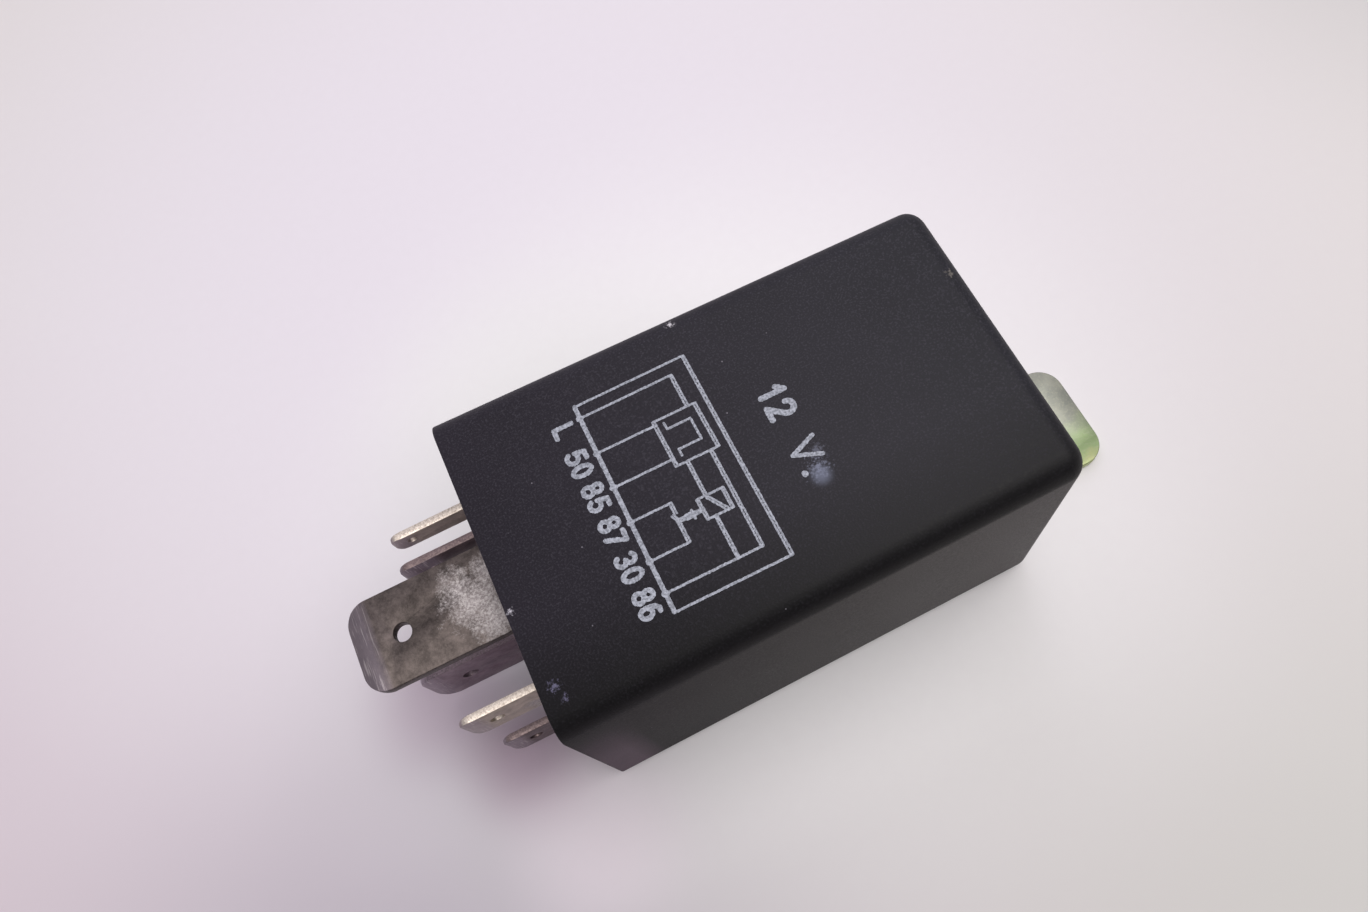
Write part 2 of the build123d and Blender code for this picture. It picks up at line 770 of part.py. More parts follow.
def make_diode():
    y, z = diode_place()
    return axial_part(y, z, diode_radius, diode_length)


def make_circuit_board():
    board = drafted_block(case_wall + board_edge_clearance, board_x, board_face, inner_edge_radius)
    x0, x1 = board_x - 1, board_face + 1
    level = middle_z + blade_87_rise
    notch = heavy_width / 2 + notch_clearance
    board -= block(x0, x1, -notch, notch, level - heavy_thickness / 2 - notch_clearance, case_height)
    side = heavy_thickness / 2 + board_slot_clearance
    board -= block(x0, x1, -side, side, inner_30_top - blade_30_inner_width - board_slot_clearance,
                   inner_30_top + board_slot_clearance)
    for y, rise, _, _, tail in light_blades.values():
        half = tail / 2 + board_slot_clearance
        side = light_thickness / 2 + board_slot_clearance
        board -= block(x0, x1, y - side, y + side, middle_z + rise - half, middle_z + rise + half)
    for y, z in foot_places():
        side = foot_width / 2 + board_slot_clearance
        half = foot_half + board_slot_clearance
        board -= block(x0, x1, y - side, y + side, z - half, z + half)
    for y, z in post_places():
        board -= rod(x0, x1, y, z, stake_radius + press_clearance)
    pins = [(-pin_spread, middle_z - pin_drop), (pin_spread, middle_z - pin_drop)]
    for y, z in pins:
        half = pin_half + board_slot_clearance
        board -= block(x0, x1, y - half, y + half, z - half, z + half)
    holes = capacitor_leads(*timing_capacitor_place()) + capacitor_leads(*supply_capacitor_place())
    for y, z in holes + chip_legs() + transistor_leads() + axial_leads():
        board -= lead(x0, x1, y, z, lead_hole_radius)
    return board


def make_bracket():
    """The leg lies on the closed end, the foot flush with the back of the case."""
    half = bracket_thickness / 2
    leg = case_length + half
    body = strip([(leg, bracket_height), (leg, half), (case_length + bracket_reach, half)],
                 bracket_bend_radius + half, bracket_thickness, bracket_width)
    far = body.edges().filter_by(Axis.Z).sort_by(Axis.X)[-2:]
    body = fillet(far, bracket_corner_radius)
    top = [e for e in body.edges().filter_by(Axis.X) if e.center().Z > bracket_height - 0.1]
    body = fillet(top, bracket_corner_radius)
    hole_x = case_length + bracket_reach - bracket_hole_setback
    body -= Pos(hole_x, 0, half) * Cylinder(bracket_hole_radius, 2 * bracket_thickness)
    body -= rod(case_length - 1, case_length + 3, 0, bracket_rivet_rise,
                bracket_rivet_radius + rivet_hole_clearance)
    return Pos(0, bracket_side, 0) * body


def make_bracket_rivet():
    y, z = bracket_side, bracket_rivet_rise
    outside = case_length + bracket_thickness
    tail = case_length - end_wall - washer_thickness
    outline = [(tail - rivet_tail_height, 0), (tail - rivet_tail_height, rivet_tail_radius),
               (tail, rivet_tail_radius), (tail, bracket_rivet_radius), (outside, bracket_rivet_radius)]
    for n in range(dome_steps + 1):
        turn = radians(90 * n / dome_steps)
        outline.append((outside + bracket_rivet_dome * sin(turn), bracket_rivet_head * cos(turn)))
    return Pos(0, y, z) * revolve(make_face(Polyline(*outline, close=True)), Axis.X)


def make_rivet_washer():
    y, z = bracket_side, bracket_rivet_rise
    inside = case_length - end_wall
    washer = rod(inside - washer_thickness, inside, y, z, washer_radius)
    return washer - rod(0, case_length, y, z, bracket_rivet_radius + rivet_hole_clearance)


def main():
    nodes = {
        "cover": make_cover(),
        "base_plate": make_base_plate(),
        "blade_87": make_blade_87(),
        "blade_30": make_blade_30(),
        "circuit_board": make_circuit_board(),
        "yoke": make_yoke(),
        "core": make_core(),
        "bobbin": make_bobbin(),
        "coil_winding": make_winding(),
        "coil_pins": make_coil_pins(),
        "armature": make_armature(),
        "contact_arm": make_contact_arm(),
        "arm_rivets": make_arm_rivets(),
        "moving_contact": make_moving_contact(),
        "fixed_contact": make_fixed_contact(),
        "return_spring": make_return_spring(),
        "copper_braid": make_copper_braid(),
        "timer_chip": make_timer_chip(),
        "timing_capacitor": capacitor(*timing_capacitor_place(), cap_radius, cap_length),
        "supply_capacitor": capacitor(*supply_capacitor_place(), small_cap_radius, small_cap_length),
        "transistor": make_transistor(),
        "diode": make_diode(),
        "resistors": make_resistors(),
        "mounting_bracket": make_bracket(),
        "bracket_rivet": make_bracket_rivet(),
        "rivet_washer": make_rivet_washer(),
    }
    for name, sizes in light_blades.items():
        nodes[name] = make_light_blade(*sizes)
    os.makedirs("parts", exist_ok=True)
    for name, shape in nodes.items():
        export_step(Pos(open_face_x, 0, 0) * shape, f"parts/{name}.step")


main()
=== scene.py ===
# %% [markdown]
# # A plug-in timer relay
# This lesson dresses an automotive relay: a black moulded case with a white screen print, six tinned brass
# blades, a passivated steel bracket, and the magnet and timer board that the case hides. The shapes come
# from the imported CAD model, so each step here is about a surface, or about a detail that is too fine for
# CAD.

import json
import math

import bmesh
import bpy
import numpy as np
from mathutils import Matrix, Vector


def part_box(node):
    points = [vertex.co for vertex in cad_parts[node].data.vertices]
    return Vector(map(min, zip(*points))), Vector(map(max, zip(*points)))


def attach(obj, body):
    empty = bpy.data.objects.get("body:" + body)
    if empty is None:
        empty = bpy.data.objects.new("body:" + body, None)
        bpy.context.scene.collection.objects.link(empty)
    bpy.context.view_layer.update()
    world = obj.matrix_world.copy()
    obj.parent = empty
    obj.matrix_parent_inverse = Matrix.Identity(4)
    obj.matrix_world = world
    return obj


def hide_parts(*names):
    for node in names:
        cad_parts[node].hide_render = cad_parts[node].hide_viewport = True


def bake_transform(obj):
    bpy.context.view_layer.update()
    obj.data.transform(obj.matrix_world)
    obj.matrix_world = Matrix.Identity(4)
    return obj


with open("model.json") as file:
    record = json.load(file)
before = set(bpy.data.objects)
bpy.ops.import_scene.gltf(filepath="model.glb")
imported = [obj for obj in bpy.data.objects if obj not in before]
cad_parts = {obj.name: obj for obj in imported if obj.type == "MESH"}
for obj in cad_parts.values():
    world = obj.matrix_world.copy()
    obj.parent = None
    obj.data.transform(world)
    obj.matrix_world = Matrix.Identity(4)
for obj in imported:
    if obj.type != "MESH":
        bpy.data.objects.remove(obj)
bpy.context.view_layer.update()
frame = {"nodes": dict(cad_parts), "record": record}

# %% [markdown]
# ## Sizes and places
# Blender works in metres, and a relay is drawn in millimetres, so one small constant turns one into the
# other. The case's open face, where its blades come out, is the natural zero for lengths along the relay.
# The frame's own zero is the middle of the footprint, so every place along X is shifted by the same
# distance.

# %% Millimetres, and the case's open face
MM = 0.001
cover_low, cover_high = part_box("cover")
open_face = cover_low.x
case_length = cover_high.x - cover_low.x
case_top = cover_high.z
front_draft = 0.3 * MM  # the printed face comes down by this much towards the closed end


def top_at(x):
    """Height of the printed face at a distance from the open face, both in metres."""
    return case_top - front_draft * x / case_length


def place(x, y, z):
    """A point given in millimetres from the open face, the middle and the back of the case."""
    return Vector((open_face + x * MM, y * MM, z * MM))


print("open face at", round(open_face / MM, 2), "mm, case", round(case_length / MM, 2), "mm long")

# %% [markdown]
# ## The camera
# The view is nearly straight down on the printed face, from a little beyond the lower long side, with a
# wide lens held close: 27.5 mm on a 36 mm sensor, about 130 mm from the middle of the relay's foot. That
# nearness is why the case narrows towards the floor. Three unit vectors say which way is right, down and
# ahead in the view.

# %% Camera
view_right = Vector((0.89829625, -0.42188199, -0.12279831))
view_down = Vector((-0.43648043, -0.82467946, -0.35970630))
view_ahead = Vector((0.05048437, 0.37672188, -0.92494970))
eye = place(16.15, -35.52, 125.44)
lens = bpy.data.cameras.new("close_camera")
lens.sensor_width = 36.0
lens.lens = 27.53
lens.clip_start = 0.01
camera = bpy.data.objects.new("close_camera", lens)
axes = Matrix((view_right, -view_down, -view_ahead)).transposed()
camera.matrix_world = Matrix.Translation(eye) @ axes.to_4x4()
bpy.context.scene.collection.objects.link(camera)
bpy.context.scene.camera = camera
print("camera", round(camera.location.length / MM), "mm from the middle of the relay's foot")

# %% [markdown]
# ## Colours and shader nodes
# A colour picked on a screen is an sRGB hex value, and a shader needs linear light, so one function turns
# one into the other. A second function adds any shader node: each input is given either a value or the
# output of an earlier node, so a material reads as a list of what feeds what. A third gives the scale for a
# pattern whose features are so many millimetres across, and a fourth starts a material. Most finishes here
# then go the same way: a noise texture, a Map Range node that turns its middle greys into a share from 0 to
# 1, and a Mix node that lays one colour over another by that share.


# %% Colour and node helpers
def linear(colour):
    """An sRGB hex colour as linear RGBA."""
    parts = [int(colour[i:i + 2], 16) / 255 for i in (0, 2, 4)]
    return [p / 12.92 if p <= 0.04045 else ((p + 0.055) / 1.055) ** 2.4 for p in parts] + [1.0]


def add(tree, kind, inputs=None, **settings):
    """A shader node with its settings, and each input linked to a socket or set to a value."""
    made = tree.nodes.new("ShaderNode" + kind)
    for name, value in settings.items():
        setattr(made, name, value)
    for key, value in (inputs or {}).items():
        if isinstance(value, bpy.types.NodeSocket):
            tree.links.new(value, made.inputs[key])
        else:
            made.inputs[key].default_value = value
    return made


def per(size_mm):
    """Scale of a pattern, in object coordinates, whose features are this many millimetres across."""
    return 1 / (size_mm * MM)


def start_material(name, roughness, metallic=0.0):
    """A new material, with its tree, its shader and the object's own coordinates."""
    made = bpy.data.materials.new(name)
    made.use_nodes = True
    tree = made.node_tree
    shader = tree.nodes["Principled BSDF"]
    shader.inputs["Roughness"].default_value = roughness
    shader.inputs["Metallic"].default_value = metallic
    where = add(tree, "TexCoord").outputs["Object"]
    return made, tree, shader, where


print("white paper is", [round(c, 2) for c in linear("f4eef2")[:3]], "in linear light")

# %% [markdown]
# ## Floor and light
# The relay lies on a sheet of white paper, lit softly from above and a little behind. The shadow stays soft
# because the lamps are large beside the relay. The light and shade on the paper are partly painted into its
# colour, without a coloured lamp: a blend between two colours paints it darker and lilac towards the lower
# left and warm grey towards the right, and a few wide soft patches paint slow changes of brightness. Two
# small lilac patches are painted shadow under the blades, and a third, pale one is painted light just off the
# case's near corner at the open end. Far from the relay the sheet goes over to one neutral tone.


# %% Soft patches of colour
def distance_from(tree, where, centre):
    """How far each point of a surface is from one place, in metres."""
    offset = add(tree, "VectorMath", {0: where, 1: centre}, operation="SUBTRACT")
    return add(tree, "VectorMath", {0: offset.outputs[0]}, operation="LENGTH").outputs["Value"]


def blotted(tree, where, colour, centre, radius_mm, tint, share=1.0):
    """A colour that goes softly over to a tint around one place."""
    sizes = {0: distance_from(tree, where, centre), 1: radius_mm * MM, 2: 0.0, 4: share}
    near = add(tree, "MapRange", sizes, interpolation_type="SMOOTHERSTEP").outputs[0]
    return add(tree, "Mix", {0: near, 6: colour, 7: linear(tint)}, data_type="RGBA").outputs[2]


print("a patch fades out at its radius")

# %% Paper floor
paper, tree, shader, where = start_material("uncoated_white_paper", roughness=0.9)
shader.inputs["Specular IOR Level"].default_value = 0.2
# Painted shade: this blend darkens the paper and turns it lilac towards the lower left.
across = add(tree, "VectorMath", {0: where, 1: (0.73, 0.69, 0)}, operation="DOT_PRODUCT").outputs["Value"]
shade_to_light = add(tree, "MapRange", {0: across, 1: -0.057, 2: -0.002}).outputs[0]
whites = {0: shade_to_light, 6: linear("cabcc2"), 7: linear("dbd8d4")}
paper_tint_and_painted_light = add(tree, "Mix", whites, data_type="RGBA").outputs[2]
# Painted light and shade: wide bright and dark patches, two lilac patches of painted shadow under the blades,
# and a pale patch of painted light off the case's near corner.
for x_mm, y_mm, radius_mm, tint, share in (
    (-11, 59, 180, "e7e2ea", 1.0), (-62, -53, 86, "afaab3", 1.0), (36, -98, 118, "ccccc7", 1.0),
    (2, 6, 76, "f7f7f7", 1.0), (-19, 27, 38, "ebebeb", 1.0), (150, 58, 87, "c4c4c4", 1.0),
    (-43, 1, 15, "a990a4", 0.55), (-36, -10, 13, "a98fa3", 0.75), (-32, -22, 16, "f2e6f0", 0.5),
):
    paper_tint_and_painted_light = blotted(tree, where, paper_tint_and_painted_light, (x_mm * MM, y_mm * MM, 0), radius_mm, tint, share)
far = add(tree, "VectorMath", {0: where}, operation="LENGTH").outputs["Value"]
to_neutral = add(tree, "MapRange", {0: far, 1: 0.18, 2: 0.42}).outputs[0]
neutral = {0: to_neutral, 6: paper_tint_and_painted_light, 7: linear("dedce0")}
paper_tint_and_painted_light = add(tree, "Mix", neutral, data_type="RGBA").outputs[2]
fibre = add(tree, "TexNoise", {"Vector": where, "Scale": per(1.5), "Detail": 4.0}).outputs["Fac"]
fibrous = add(tree, "MapRange", {0: fibre, 1: 0.3, 2: 0.7, 4: 0.04}).outputs[0]
flecks = {0: fibrous, 6: paper_tint_and_painted_light, 7: linear("cfc6cc")}
paper_tint_and_painted_light = add(tree, "Mix", flecks, data_type="RGBA").outputs[2]
tree.links.new(paper_tint_and_painted_light, shader.inputs["Base Color"])
below_relay = -0.02 * MM  # so that the case and the paper never share a plane
bpy.ops.mesh.primitive_plane_add(size=4, location=(0, 0, below_relay))
floor = bpy.context.object
floor.name = "paper"
floor.data.materials.append(paper)
print("floor", floor.name)

# %% [markdown]
# ### Lamps and the room
# A large panel overhead and a weaker one behind give the soft top light. The room itself adds an even glow,
# and it is darker low down on the near side, where a person stands: the case's lower long edge mirrors that
# side and so goes nearly black. The camera sees only a plain pale backdrop past the sheet.


# %% Lamps
def lamp(name, power, size, place_at, colour):
    """A square soft lamp aimed at the relay."""
    light = bpy.data.lights.new(name, "AREA")
    light.energy = power
    light.size = size
    light.color = linear(colour)[:3]
    made = bpy.data.objects.new(name, light)
    made.location = place_at
    made.rotation_euler = (Vector((0, 0, 0.02)) - Vector(place_at)).to_track_quat("-Z", "Y").to_euler()
    bpy.context.scene.collection.objects.link(made)
    return made


lamp("ceiling_panel", 10.0, 1.0, (0.30, -0.10, 1.10), "fffbf8")
lamp("rear_panel", 3.6, 1.0, (0.10, 1.00, 0.90), "f6efff")

# %% Sky
sky = bpy.data.worlds.new("room")
sky.use_nodes = True
tree = sky.node_tree
backdrop = tree.nodes["Background"]
outward = add(tree, "SeparateXYZ", {"Vector": add(tree, "TexCoord").outputs["Generated"]})
before = add(tree, "MapRange", {0: outward.outputs["Y"], 1: -0.2, 2: -0.75}).outputs[0]
below = add(tree, "MapRange", {0: outward.outputs["Z"], 1: 0.75, 2: 0.35}).outputs[0]
dim = add(tree, "Math", {0: before, 1: below}, operation="MULTIPLY").outputs[0]
seen = add(tree, "LightPath").outputs["Is Camera Ray"]
room = add(tree, "Mix", {0: dim, 6: linear("f3eff6"), 7: linear("28242a")}, data_type="RGBA").outputs[2]
room = add(tree, "Mix", {0: seen, 6: room, 7: linear("ffffff")}, data_type="RGBA").outputs[2]
tree.links.new(room, backdrop.inputs["Color"])
power = add(tree, "MapRange", {0: seen, 3: 0.42, 4: 0.72}).outputs[0]
tree.links.new(power, backdrop.inputs["Strength"])
bpy.context.scene.world = sky
bpy.context.scene.view_settings.view_transform = "Standard"
print("world:", sky.name)

# %% [markdown]
# ## The moulded case
# The case is glass-filled nylon, injection moulded in a steel tool whose walls were spark-eroded. That gives
# a matte black skin with a grain of about a fifth of a millimetre, which scatters light into a soft grey. The
# printed face carries a painted sheen, a grey that fades to bare black along its lower edge, where that edge
# mirrors the dark near side of the room as painted shade. The flanks carry a painted reflection of the paper,
# paler towards the closed end. Years of handling leave pale specks of dust, and scuffs where the plastic is
# bruised white along the edges. The painted sheen and the grain are mixes of close greys. A scuff is a heap
# of fine crumbs around one place, cut off where the heap gets thin, so that it breaks up at its rim.


# %% Scuffs
def scuffed(tree, where, colour, centre, radius_mm, tint, share):
    """A colour with a loose patch of pale crumbs and scratches around one place."""
    gap = {0: distance_from(tree, where, centre), 1: radius_mm * MM, 2: 0.0}
    near = add(tree, "MapRange", gap).outputs[0]
    gritty = {"Vector": where, "Scale": per(0.3), "Detail": 4.0, "Roughness": 0.75}
    crumbs = add(tree, "TexNoise", gritty).outputs["Fac"]
    heap = add(tree, "Math", {0: near, 1: 0.34, 2: crumbs}, operation="MULTIPLY_ADD").outputs[0]
    broken = add(tree, "MapRange", {0: heap, 1: 0.68, 2: 0.86}).outputs[0]
    faded = add(tree, "MapRange", {0: near, 2: 0.15, 4: share}).outputs[0]
    shown = add(tree, "Math", {0: broken, 1: faded}, operation="MULTIPLY").outputs[0]
    return add(tree, "Mix", {0: shown, 6: colour, 7: linear(tint)}, data_type="RGBA").outputs[2]


scuffs = (  # place in millimetres, radius, tint and strength
    (31.7, -5.2, 33.8, 2.0, "9ba1b8", 0.5), (32.4, -3.6, 33.8, 1.6, "8f93a6", 0.35),
    (25.9, 15.3, 33.6, 0.9, "d5d2d8", 0.95), (0.6, -4.6, 34.0, 0.7, "c9c6d0", 0.95),
    (1.6, -12.6, 33.9, 1.0, "8583a0", 0.75), (2.1, -14.0, 33.7, 0.9, "77748f", 0.7),
    (44.0, -17.1, 20.0, 1.0, "aaa7ac", 0.6), (52.6, 7.0, 33.5, 0.9, "8d8880", 0.6),
)
print(len(scuffs), "scuffs on the case")

# %% Moulded black nylon
nylon, tree, shader, where = start_material("black_glass_filled_nylon_moulded", roughness=0.55)
shader.inputs["Specular IOR Level"].default_value = 0.22
grain = add(tree, "TexNoise", {"Vector": where, "Scale": per(0.2), "Detail": 3.0}).outputs["Fac"]
cloud = add(tree, "TexNoise", {"Vector": where, "Scale": per(9.0), "Detail": 3.0}).outputs["Fac"]
axis = add(tree, "SeparateXYZ", {"Vector": where})
facing = add(tree, "SeparateXYZ", {"Vector": add(tree, "TexCoord").outputs["Normal"]})
whole_length = {0: axis.outputs["X"], 1: open_face, 2: open_face + case_length}
along = add(tree, "MapRange", whole_length).outputs[0]
# Painted sheen on the printed face: a grey that fades to bare black near the lower long edge and over the
# rounding below it, painted shade where that edge mirrors the dark near side.
inward = add(tree, "MapRange", {0: axis.outputs["Y"], 1: -15.5 * MM, 2: -6.0 * MM}).outputs[0]
turned_up = add(tree, "MapRange", {0: facing.outputs["Y"], 1: -0.35, 2: -0.04}).outputs[0]
ink_film_and_painted_sheen = add(tree, "Math", {0: inward, 1: turned_up}, operation="MULTIPLY").outputs[0]
# The flanks, the faces that look sideways, take a painted reflection of the paper.
flank = add(tree, "MapRange", {0: facing.outputs["Z"], 1: 0.22, 2: 0.02}).outputs[0]
print("film on the printed face, flanks paler towards the closed end")

# %% Colours of the nylon
bare = linear("0e0d0f")
# The painted sheen's grey, a little more lilac at the open end.
greys = {0: along, 6: linear("26222b"), 7: linear("212127")}
painted_sheen_tone = add(tree, "Mix", greys, data_type="RGBA").outputs[2]
skin = add(tree, "Mix", {0: ink_film_and_painted_sheen, 6: bare, 7: painted_sheen_tone}, data_type="RGBA").outputs[2]
# Painted reflection of the paper on the flanks: dark at the open end, paler towards the closed end.
to_end = add(tree, "MapRange", {0: along, 2: 0.85}).outputs[0]
flank_reflection_greys = {0: to_end, 6: linear("141214"), 7: linear("3d3837")}
flank_painted_reflection = add(tree, "Mix", flank_reflection_greys, data_type="RGBA").outputs[2]
skin = add(tree, "Mix", {0: flank, 6: skin, 7: flank_painted_reflection}, data_type="RGBA").outputs[2]
print("bare nylon is", [round(c, 3) for c in bare[:3]], "in linear light")

# %% [markdown]
# The lower flank has a pale strip beside the open rim, about 4 mm wide and stronger near the floor: a painted
# reflection of the bright paper.

# %% Painted reflection and grain on the nylon
# Painted reflection of the paper: a pale strip on the lower flank beside the open rim, stronger low down.
by_rim = {0: axis.outputs["X"], 1: open_face + 5.8 * MM, 2: open_face + 3.2 * MM}
rim = add(tree, "MapRange", by_rim).outputs[0]
low_down = add(tree, "MapRange", {0: axis.outputs["Z"], 1: 31 * MM, 2: 13 * MM}).outputs[0]
rim = add(tree, "Math", {0: rim, 1: low_down}, operation="MULTIPLY").outputs[0]
lower_side = add(tree, "MapRange", {0: facing.outputs["Y"], 1: -0.8, 2: -0.98}).outputs[0]
rim = add(tree, "Math", {0: rim, 1: lower_side}, operation="MULTIPLY").outputs[0]
skin = add(tree, "Mix", {0: rim, 6: skin, 7: linear("655661")}, data_type="RGBA").outputs[2]
clouded = add(tree, "MapRange", {0: cloud, 1: 0.35, 2: 0.65, 4: 0.15}).outputs[0]
skin = add(tree, "Mix", {0: clouded, 6: skin, 7: bare}, data_type="RGBA").outputs[2]
grainy = add(tree, "MapRange", {0: grain, 1: 0.5, 2: 0.75, 4: 0.48}).outputs[0]
# The grain shows only where the sheen is painted.
on_painted_sheen = add(tree, "MapRange", {0: ink_film_and_painted_sheen, 3: 0.25}).outputs[0]
grainy = add(tree, "Math", {0: grainy, 1: on_painted_sheen}, operation="MULTIPLY").outputs[0]
skin = add(tree, "Mix", {0: grainy, 6: skin, 7: linear("4d4b54")}, data_type="RGBA").outputs[2]
print("haze beside the rim, grain over all of it")

# %% Dust and scuffs on the nylon
cells = add(tree, "TexVoronoi", {"Vector": where, "Scale": per(1.8)})
picked = add(tree, "SeparateColor", {"Color": cells.outputs["Color"]})
chosen = add(tree, "Math", {0: picked.outputs["Red"], 1: 0.72}, operation="GREATER_THAN").outputs[0]
middle = add(tree, "MapRange", {0: cells.outputs["Distance"], 1: 0.05, 2: 0.03}).outputs[0]
dust = add(tree, "Math", {0: middle, 1: chosen}, operation="MULTIPLY").outputs[0]
skin = add(tree, "Mix", {0: dust, 6: skin, 7: linear("77747c")}, data_type="RGBA").outputs[2]
for x, y, height, radius_mm, tint, share in scuffs:
    skin = scuffed(tree, where, skin, place(x, y, height), radius_mm, tint, share)
skin = blotted(tree, where, skin, place(31.7, -5.9, 33.8), 1.5, "7a8094", 0.6)
tree.links.new(skin, shader.inputs["Base Color"])
print("about one cell in four holds a speck of dust")

# %% Shine and bump of the nylon
matte = add(tree, "MapRange", {0: grain, 1: 0.3, 2: 0.7, 3: 0.46, 4: 0.62}).outputs[0]
by_open_end = add(tree, "MapRange", {0: along, 2: 0.7, 3: 0.2, 4: 0.0}).outputs[0]
worn = add(tree, "Math", {0: flank, 1: by_open_end}, operation="MULTIPLY").outputs[0]
rough = add(tree, "Math", {0: matte, 1: worn}, operation="ADD").outputs[0]
tree.links.new(rough, shader.inputs["Roughness"])
bump = add(tree, "Bump", {"Height": grain, "Distance": 0.02 * MM})
tree.links.new(bump.outputs["Normal"], shader.inputs["Normal"])
print("material", nylon.name)

# %% [markdown]
# ## Softened copies of the CAD pieces
# A moulded or stamped edge is never perfectly sharp: it is rounded by a tenth of a millimetre or so, and
# that thin curve is what catches the light. The CAD solid leaves it out. A copy of the mesh is cleaned of
# the triangles that lie in one plane, and a bevel modifier then rounds only the edges that turn sharply.


def softened(node, name, width_mm, material, turn=35):
    """A copy of a CAD node with its sharp edges rounded, which stands for the node."""
    source = frame["nodes"][node]
    mesh = source.data.copy()
    mesh.materials.clear()
    work = bmesh.new()
    work.from_mesh(mesh)
    bmesh.ops.remove_doubles(work, verts=work.verts, dist=1e-6)
    bmesh.ops.dissolve_limit(work, angle_limit=math.radians(0.5), verts=work.verts, edges=work.edges)
    work.to_mesh(mesh)
    work.free()
    mesh.name = name
    mesh.shade_smooth()
    piece = bpy.data.objects.new(name, mesh)
    bpy.context.scene.collection.objects.link(piece)
    rounding = piece.modifiers.new("edge", "BEVEL")
    rounding.width = width_mm * MM
    rounding.segments = 2
    rounding.limit_method = "ANGLE"
    rounding.angle_limit = math.radians(turn)
    rounding.use_clamp_overlap = True
    rounding.harden_normals = True
    piece.data.materials.append(material)
    body = next(body for body, nodes in frame["record"]["behaviour"]["bodies"].items() if node in nodes)
    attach(piece, body)
    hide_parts(node)
    return piece


case_shell = softened("cover", "case_shell", 0.22, nylon)
print(case_shell.name, len(case_shell.data.polygons), "faces before rounding")

# %% [markdown]
# ## The screen print
# White ink was pushed through a mesh on to the finished case, so it lies on the surface as a film a few
# hundredths of a millimetre thick, with slightly ragged edges and pinholes. Each line is written as a
# stroke between points. On a fine grid, the distance to the nearest stroke says where there is ink, and
# small waves added to that distance fray the edge. The grid squares inside become the film, cut off where
# the edge crosses them, so that the print is a real, clean mesh.


# %% Strokes, and the distance to them
def waves(x, y, seed, shortest, longest, count=14):
    """Gentle irregular waves with a height of about 1, the same at every run."""
    rng = np.random.default_rng(seed)
    total = np.zeros_like(x)
    for length, turn, phase in zip(rng.uniform(shortest, longest, count), rng.uniform(0, math.tau, count),
                                   rng.uniform(0, math.tau, count)):
        total += np.sin((x * math.cos(turn) + y * math.sin(turn)) * math.tau / length + phase)
    return total / math.sqrt(count)


def distance_to(strokes, x, y):
    """Distance from each grid point to the edge of the nearest stroke, negative inside."""
    nearest = np.full_like(x, 99.0)
    for width, points in strokes:
        for (x0, y0), (x1, y1) in zip(points, points[1:]):
            dx, dy = x1 - x0, y1 - y0
            share = np.clip(((x - x0) * dx + (y - y0) * dy) / (dx * dx + dy * dy + 1e-9), 0, 1)
            gap = np.hypot(x - x0 - share * dx, y - y0 - share * dy) - width / 2
            nearest = np.minimum(nearest, gap)
    return nearest


print("strokes have a width and a row of points, in millimetres")

# %% Sizes of the film
film_lift = 0.01
film_thickness = 0.02
grid_square = 0.05
print("one grid square of the print is", grid_square, "mm")


# %% The film of ink as a mesh
def inked_mesh(name, strokes, cell, fray, pinholes):
    """The film of ink for a set of strokes, as a mesh that follows the printed face."""
    ends = np.array([p for _, points in strokes for p in points])
    low, high = ends.min(0) - 0.6, ends.max(0) + 0.6
    columns = int((high[0] - low[0]) / cell) + 2
    rows = int((high[1] - low[1]) / cell) + 2
    x, y = np.meshgrid(low[0] + cell * np.arange(columns), low[1] + cell * np.arange(rows), indexing="ij")
    field = distance_to(strokes, x, y) + fray * waves(x, y, 3, 0.18, 0.7)
    field = np.maximum(field, 0.1 * (waves(x, y, 8, 0.22, 0.5) - pinholes))
    corners, found, faces = [], {}, []

    def corner(key, px, py):
        if key not in found:
            found[key] = len(corners)
            corners.append((open_face + px * MM, py * MM, top_at(px * MM) + film_lift * MM))
        return found[key]

    for i, j in zip(*np.nonzero(np.minimum(np.minimum(field[:-1, :-1], field[1:, :-1]),
                                           np.minimum(field[:-1, 1:], field[1:, 1:])) < 0)):
        ring = [(i, j), (i + 1, j), (i + 1, j + 1), (i, j + 1)]
        face = []
        for a, b in zip(ring, ring[1:] + ring[:1]):
            fa, fb = field[a], field[b]
            if fa < 0:
                face.append(corner(a, x[a], y[a]))
            if (fa < 0) != (fb < 0):
                share = fa / (fa - fb)
                key = (min(a, b), max(a, b))
                face.append(corner(key, x[a] + share * (x[b] - x[a]), y[a] + share * (y[b] - y[a])))
        if len(set(face)) > 2:
            faces.append(face)
    mesh = bpy.data.meshes.new(name)
    mesh.from_pydata(corners, [], faces)
    mesh.validate()
    piece = bpy.data.objects.new(name, mesh)
    bpy.context.scene.collection.objects.link(piece)
    ink_film_and_painted_sheen = piece.modifiers.new("ink_film_and_painted_sheen", "SOLIDIFY")
    ink_film_and_painted_sheen.thickness = film_thickness * MM
    ink_film_and_painted_sheen.offset = 1.0
    return piece


print("the film lies", film_lift, "mm off the case and is", film_thickness, "mm thick")

# %% [markdown]
# ### The wiring diagram
# The diagram is the same on countless relays: a box with the terminals down its left side, the timer, the
# coil with its diagonal, and the contact that a link pulls. The lines that run along the relay are thin.
# Those that run across it, along the squeegee's stroke, are wider and have a dim middle, because more ink
# gets through at the two edges of a line. Each of them is drawn as two strokes side by side. Where a line
# leaves the left-hand bar, the ink has pooled into a small blob.

